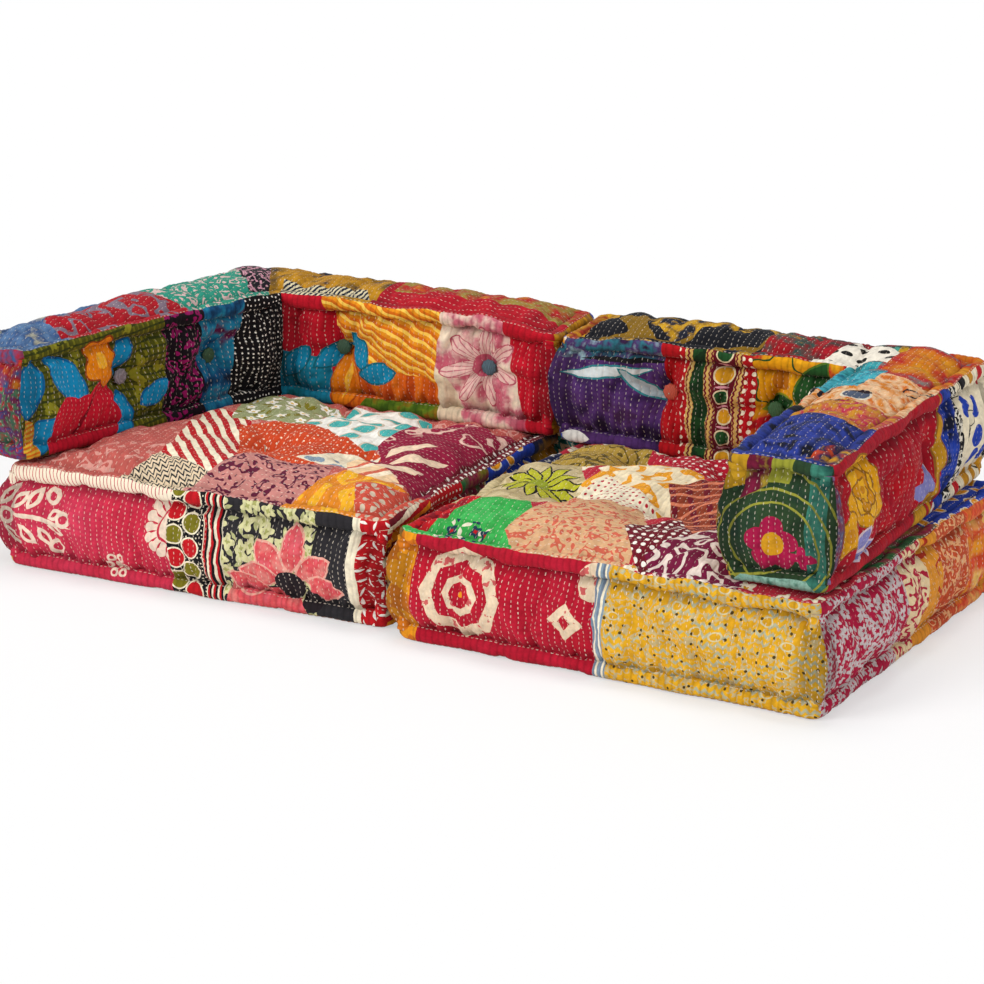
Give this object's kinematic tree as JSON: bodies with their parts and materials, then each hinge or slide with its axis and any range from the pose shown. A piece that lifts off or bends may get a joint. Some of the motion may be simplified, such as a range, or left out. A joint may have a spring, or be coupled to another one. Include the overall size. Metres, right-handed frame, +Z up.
{
  "type": "modular pouf",
  "caption": "Low floor sofa of tufted square seat cushions that push together, each with a loose L-shaped bolster as its arm and back, in patchwork covers with rolled edges.",
  "frame": {"origin": "on the floor, in the middle of the footprint of the whole group", "axes": "+X to the right along the row of modules, +Y towards the backs, +Z up"},
  "size_m": [1.84, 0.9116, 0.4653],
  "materials": {
    "seat_cover": "patchwork of printed cotton with lines of white running stitch",
    "seat_border_cover": "patchwork of printed cotton with lines of white running stitch",
    "bolster_cover": "patchwork of printed cotton with lines of white running stitch",
    "bolster_border_cover": "patchwork of printed cotton with lines of white running stitch",
    "base_cover": "plain cotton",
    "rolled_edge": "patched cotton pinched into a roll and stitched through",
    "cotton_filling": "carded cotton batting",
    "tuft_thread": "waxed cotton twine",
    "button_cloth": "cotton gathered over a button"
  },
  "bodies": {
    "left_seat": {"left_seat_top_panel": "seat_cover", "left_seat_border": "seat_border_cover", "left_seat_base_panel": "base_cover", "left_seat_top_roll": "rolled_edge", "left_seat_base_roll": "rolled_edge", "left_seat_corner_rolls": "rolled_edge", "left_seat_filling": "cotton_filling", "left_seat_tuft_twine": "tuft_thread", "left_seat_tuft_knots": "tuft_thread"},
    "left_bolster": {"left_bolster_top_panel": "bolster_cover", "left_bolster_border": "bolster_border_cover", "left_bolster_base_panel": "base_cover", "left_bolster_top_roll": "rolled_edge", "left_bolster_base_roll": "rolled_edge", "left_bolster_corner_rolls": "rolled_edge", "left_bolster_filling": "cotton_filling", "left_bolster_tuft_twine": "tuft_thread", "left_bolster_tuft_buttons": "button_cloth", "left_bolster_tuft_ties": "tuft_thread"},
    "right_seat": {"right_seat_top_panel": "seat_cover", "right_seat_border": "seat_border_cover", "right_seat_base_panel": "base_cover", "right_seat_top_roll": "rolled_edge", "right_seat_base_roll": "rolled_edge", "right_seat_corner_rolls": "rolled_edge", "right_seat_filling": "cotton_filling", "right_seat_tuft_twine": "tuft_thread", "right_seat_tuft_knots": "tuft_thread"},
    "right_bolster": {"right_bolster_top_panel": "bolster_cover", "right_bolster_border": "bolster_border_cover", "right_bolster_base_panel": "base_cover", "right_bolster_top_roll": "rolled_edge", "right_bolster_base_roll": "rolled_edge", "right_bolster_corner_rolls": "rolled_edge", "right_bolster_filling": "cotton_filling", "right_bolster_tuft_twine": "tuft_thread", "right_bolster_tuft_buttons": "button_cloth", "right_bolster_tuft_ties": "tuft_thread"}
  },
  "joints": [
    {"name": "left_bolster_lift", "type": "slide", "parent": "left_seat", "child": "left_bolster", "axis": [0, 0, 1], "range_m": [0, 0.3]},
    {"name": "right_module_slide", "type": "slide", "parent": "left_seat", "child": "right_seat", "axis": [1, 0, 0], "range_m": [0, 0.6]},
    {"name": "right_bolster_lift", "type": "slide", "parent": "right_seat", "child": "right_bolster", "axis": [0, 0, 1], "range_m": [0, 0.3]}
  ]
}
